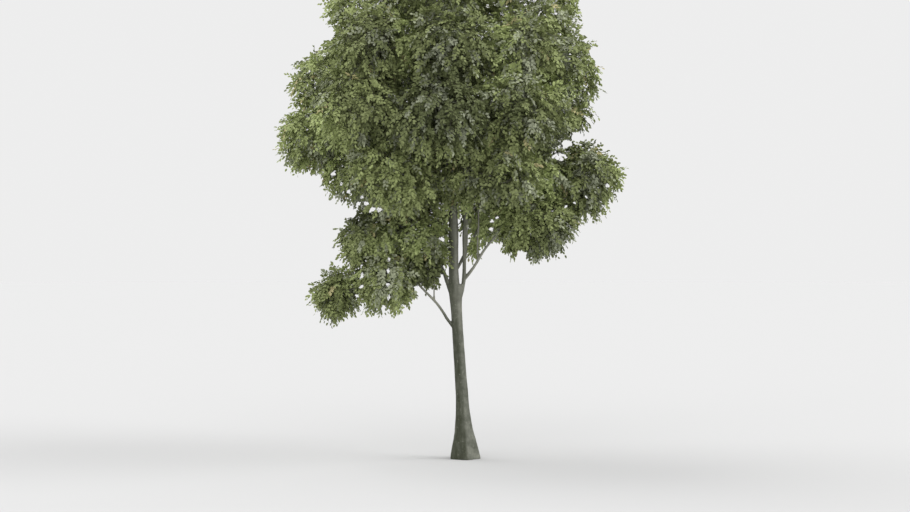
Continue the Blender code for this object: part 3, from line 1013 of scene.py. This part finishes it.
def in_sky_gap(points, gaps):
    """Which of the points the camera would see in one of the crown's gaps."""
    eye = np.array(CAMERA_PLACE)
    seen = eye + (points - eye) * (-eye[1] / (points[..., 1:2] - eye[1]))
    found = np.zeros(points.shape[:-1], bool)
    for across, up, wide, tall in gaps:
        found |= ((seen[..., 0] - across) / wide) ** 2 + ((seen[..., 2] - up) / tall) ** 2 < 1
    return found


def spikes(feet, tips, axis):
    """The shoots, each a thin spike of three sides: its four corners."""
    aside = unit(np.cross(axis, UP + 0.01))
    over = np.cross(axis, aside)
    turn = (np.arange(3) * math.tau / 3)[:, None]
    ring = aside[:, None] * np.cos(turn) + over[:, None] * np.sin(turn)
    return np.concatenate([feet[:, None] + ring * SHOOT_RADIUS, tips[:, None]], 1)


def leaf_heaps(tree, twigs, masses, wood_heaps, rng):
    """Sprays of leaves on every leafy twig, by tier. The shoots go to the twigs' heaps."""
    feet, axis, normal, side, mass_of, depth = spray_frames(tree, twigs, masses, rng)
    count, per = len(feet), LEAVES_PER_SPRAY
    length = SHOOT_LENGTH * rng.uniform(*SHOOT_LENGTHS, count)
    along = (np.arange(per) + 1.0) / per
    sag = rng.uniform(*SHOOT_SAG, count)
    stem = (
        feet[:, None]
        + axis[:, None] * (length[:, None] * along)[..., None]
        - UP * (sag[:, None] * length[:, None] * along**2)[..., None]
    )
    sign = np.where(np.arange(per) % 2 == 0, 1.0, -1.0)
    angle = between(*LEAF_ANGLES, along)
    angle[-1] = 0.0  # the last leaf points on along the shoot
    angle = angle[None] + rng.normal(0, LEAF_ANGLE_STRAY, (count, per))
    lay = (axis[:, None] * np.cos(angle)[..., None]) + side[:, None] * (np.sin(angle) * sign)[..., None]
    lay = unit(lay - UP * LEAF_DROOP + rng.normal(0, LEAF_STRAY, (count, per, 3)))
    face = normal[:, None] + rng.normal(0, LEAF_TILT_STRAY, (count, per, 3))
    face = unit(face - lay * (face * lay).sum(-1, keepdims=True))
    wide = np.cross(face, lay)
    swelling = np.sin(math.pi * (along * 0.8 + 0.1))  # largest half way along the shoot
    size = LEAF_LENGTH * between(*LEAF_SIZES, swelling)[None] * rng.uniform(*LEAF_SPREAD, (count, per))
    outline = np.array(LEAF_OUTLINE)
    half = LEAF_WIDTH_SHARE / 2
    corners = stem[:, :, None] + size[..., None, None] * (
        lay[:, :, None] * outline[:, 0, None]
        + wide[:, :, None] * (outline[:, 1, None] * half)
        + face[:, :, None] * outline[:, 2, None]
    )
    tint = spray_tints(feet, depth, rng)
    low, high = np.array(cad_box)
    room = (high - low) * ROOM_SHARE
    inside = ((corners > low - room) & (corners < high + room)).all(axis=(2, 3))
    blades = np.concatenate([corners, (corners[:, :, :1] + corners[:, :, 3:4]) / 2], axis=2)
    gaps = sky_gaps()
    inside &= in_sky_gap(blades, gaps).sum(axis=2) < POINTS_IN_GAP
    open_shoot = in_sky_gap(stem, gaps).sum(axis=1) >= POINTS_IN_GAP
    inside[open_shoot] = False
    tiers = np.array([TIERS.index(tier_of(m)) for m in masses])[mass_of]
    leaf_faces = np.array([[0, 1, 2, 3], [0, 3, 4, 5]])
    spike_faces = np.array([[0, 1, 3], [1, 2, 3], [2, 0, 3], [2, 1, 0]])
    heaps = {}
    for t, tier in enumerate(TIERS):
        heap = Heap()
        chosen = (tiers == t) & ~open_shoot
        kept = corners[chosen][inside[chosen]]
        tints = np.repeat(tint[chosen], inside[chosen].sum(1))
        starts = (np.arange(len(kept)) * len(LEAF_OUTLINE))[:, None, None]
        faces = (leaf_faces[None] + starts).reshape(-1, 4)
        heap.add(kept.reshape(-1, 3), [faces], [np.repeat(tints, 2)])
        heaps[tier] = heap
        shoots = spikes(feet[chosen], stem[chosen][:, -1], axis[chosen])
        shoots = shoots[((shoots > low - room) & (shoots < high + room)).all(axis=(1, 2))]
        starts = (np.arange(len(shoots)) * shoots.shape[1])[:, None, None]
        faces = (spike_faces[None] + starts).reshape(-1, 3)
        wood_heaps[tier].add(shoots.reshape(-1, 3), [faces], [1])
    return heaps


def drift(places, size, seed):
    """Slow noise from about -1 to 1 at each place, in patches as wide and as tall as size says."""
    away = Vector([seed * step for step in DRIFT_STEPS])
    scale = np.array([size[0], size[0], size[1]])
    return np.array([noise.noise(Vector(place) + away) for place in places / scale]) * DRIFT_STRENGTH


def in_patch(places, across, up, wide, tall):
    """How deep each place lies in a soft patch of the crown, from 0 to 1."""
    far = ((places[:, 0] - across) / wide) ** 2 + ((places[:, 2] - up) / tall) ** 2
    return np.clip(PATCH_CORE - far, 0, 1)


def spray_tints(feet, depth, rng):
    """The number of the tint that each spray's leaves take: painted light round the crown's rim and top and
    on the outside of each mass, painted shade deep in the middle, in hanging drifts, with patches of dull
    grey."""
    count = len(feet)
    # Painted rim light round the crown's sides and top and on its low masses, painted shade in its middle
    across = (feet[:, 0] - CROWN_MIDDLE[0]) / CROWN_HALF[0]
    up = (feet[:, 2] - CROWN_MIDDLE[1]) / CROWN_HALF[1]
    low = np.clip(-up, 0, 1)
    sideways = np.abs(across) ** RIM_POWER * (1 - RIM_LOSS_LOW * low)
    rim = sideways + np.clip(up, 0, 1) ** 2 * RIM_TOP + RIM_LOW * low
    # Painted light on the outside of each mass, painted shade deeper in
    outer = (depth - TWIG_DEPTH[0]) / (TWIG_DEPTH[1] - TWIG_DEPTH[0])
    light = LIGHT_START + LIGHT_RIM * np.clip(rim, 0, RIM_MOST) + LIGHT_OUTER * outer
    wide = WIDE_DRIFT_SHARE * drift(feet, WIDE_DRIFT, 1)
    narrow = NARROW_DRIFT_SHARE * drift(feet, NARROW_DRIFT, 2)
    light += wide + narrow + rng.normal(0, LIGHT_STRAY, count)
    # Patches of painted light and painted shade
    light += sum(paler * in_patch(feet, *patch) for *patch, paler in LIGHT_AND_SHADE_PATCHES)
    # Painted light under the crown, near the stems, where the leaves are in shade
    under = np.clip((UNDER_FROM - feet[:, 2]) / UNDER_FADE, 0, 1)
    light += UNDER_PAINTED_LIGHT * under * np.clip(1 - np.abs(feet[:, 0] - CROWN_MIDDLE[0]) / UNDER_REACH, 0, 1)
    # The paleness picks one of the greens, from painted shade to painted light
    tint = np.clip(np.floor(light * (GREENS - 1)), 0, GREENS - 1).astype(int)
    patches = GREY_SHARE * sum(in_patch(feet, *patch) for patch in GREY_PATCHES)
    dull = np.maximum(drift(feet, GREY_DRIFT, 3) - GREY_DRIFT_LESS, patches)
    grey = dull + rng.normal(0, GREY_MIX, count) > GREY_FROM
    # Grey sprays take the pale or the deep grey by the same painted light
    tint = np.where(grey, np.where(light > GREY_PALE_FROM, GREY_PALE, GREY_DEEP), tint)
    return np.where((rng.random(count) < WARM_SHARE) & (light > WARM_FROM), WARM_TINT, tint)


def long_taper(tree, radii):
    """Lets a thick limb thin gradually where the pipe rule would end it at once."""
    thickest = {}
    for n in range(1, tree.count):
        p = tree.parent[n]
        if p >= 0 and (p not in thickest or radii[n] > radii[thickest[p]]):
            thickest[p] = n
    for p in range(tree.count):
        n = thickest.get(p)
        if n is not None and tree.given[n] == 0:
            radii[n] = max(radii[n], min(radii[p] * TAPER_SHARE, radii[p] - TAPER_STEP))
    return radii


# The stage


def make_stage():
    bpy.ops.mesh.primitive_circle_add(
        vertices=FLOOR_SIDES, radius=FLOOR_REACH, fill_type="NGON", location=(0, 0, -FLOOR_DROP)
    )
    floor = bpy.context.object
    floor.name = "floor"
    sunlight = sum(strength * Vector(toward).normalized().z / math.pi for _, toward, strength, _ in SUNS)
    share = SKY_LIGHT / (SKY_LIGHT + sunlight)
    matt = {"Roughness": 0.95, "Specular IOR Level": 0.0}
    pale, _ = new_material("matt_studio_floor", {"Base Color": (share, share, share, 1.0), **matt})
    floor.data.materials.append(pale)
    world = bpy.data.worlds.new("studio")
    bpy.context.scene.world = world
    world.use_nodes = True
    sky = world.node_tree.nodes["Background"]
    sky.inputs["Color"].default_value = (1.0, 1.0, 1.0, 1.0)
    sky.inputs["Strength"].default_value = SKY_LIGHT


def add_sun(name, toward, strength, angle):
    """A soft white far light that comes from the direction toward."""
    lamp = bpy.data.lights.new(name, "SUN")
    lamp.energy = strength
    lamp.angle = math.radians(angle)
    add_object(name, lamp).rotation_euler = Vector(toward).to_track_quat("Z", "Y").to_euler()


def make_camera():
    lens = bpy.data.cameras.new("camera")
    lens.lens = CAMERA_LENS
    lens.sensor_width = 36.0
    lens.clip_end = 1000.0
    camera = add_object("camera", lens)
    camera.location = CAMERA_PLACE
    camera.rotation_euler = (math.radians(90), 0, 0)
    bpy.context.scene.camera = camera


def build():
    rng = np.random.default_rng(SEED + 1)
    names = [n for n in frame["nodes"] if n != "trunk" and n not in BOUGHS]
    masses = [read_mass(name) for name in sorted(names)]
    tree, limb_numbers, twigs = grow_tree(masses)
    radii = long_taper(tree, pipe_radii(tree))
    bark = bark_piece(tree, limb_numbers, radii, beech_bark())
    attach(bark, "root")
    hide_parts("trunk", *BOUGHS)
    twig_materials = [twig_bark(*tint) for tint in TWIG_TINTS]
    leaf_materials = [plain_leaf(*tint) for tint in LEAF_TINTS]
    wood = twig_heaps(tree, radii, masses)
    foliage = leaf_heaps(tree, twigs, masses, wood, rng)
    for tier in TIERS:
        nodes = [m.name for m in masses if tier_of(m) == tier]
        leaves_piece = foliage[tier].piece(f"leaves_{tier}", leaf_materials)
        twigs_piece = wood[tier].piece(f"twigs_{tier}", twig_materials)
        for thing, slot in ((leaves_piece, "leaves"), (twigs_piece, "bark")):
            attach(thing, "root")
            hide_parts(*nodes)


build()
make_stage()
for sun in SUNS:
    add_sun(*sun)
make_camera()
bpy.context.scene.view_settings.view_transform = "Standard"
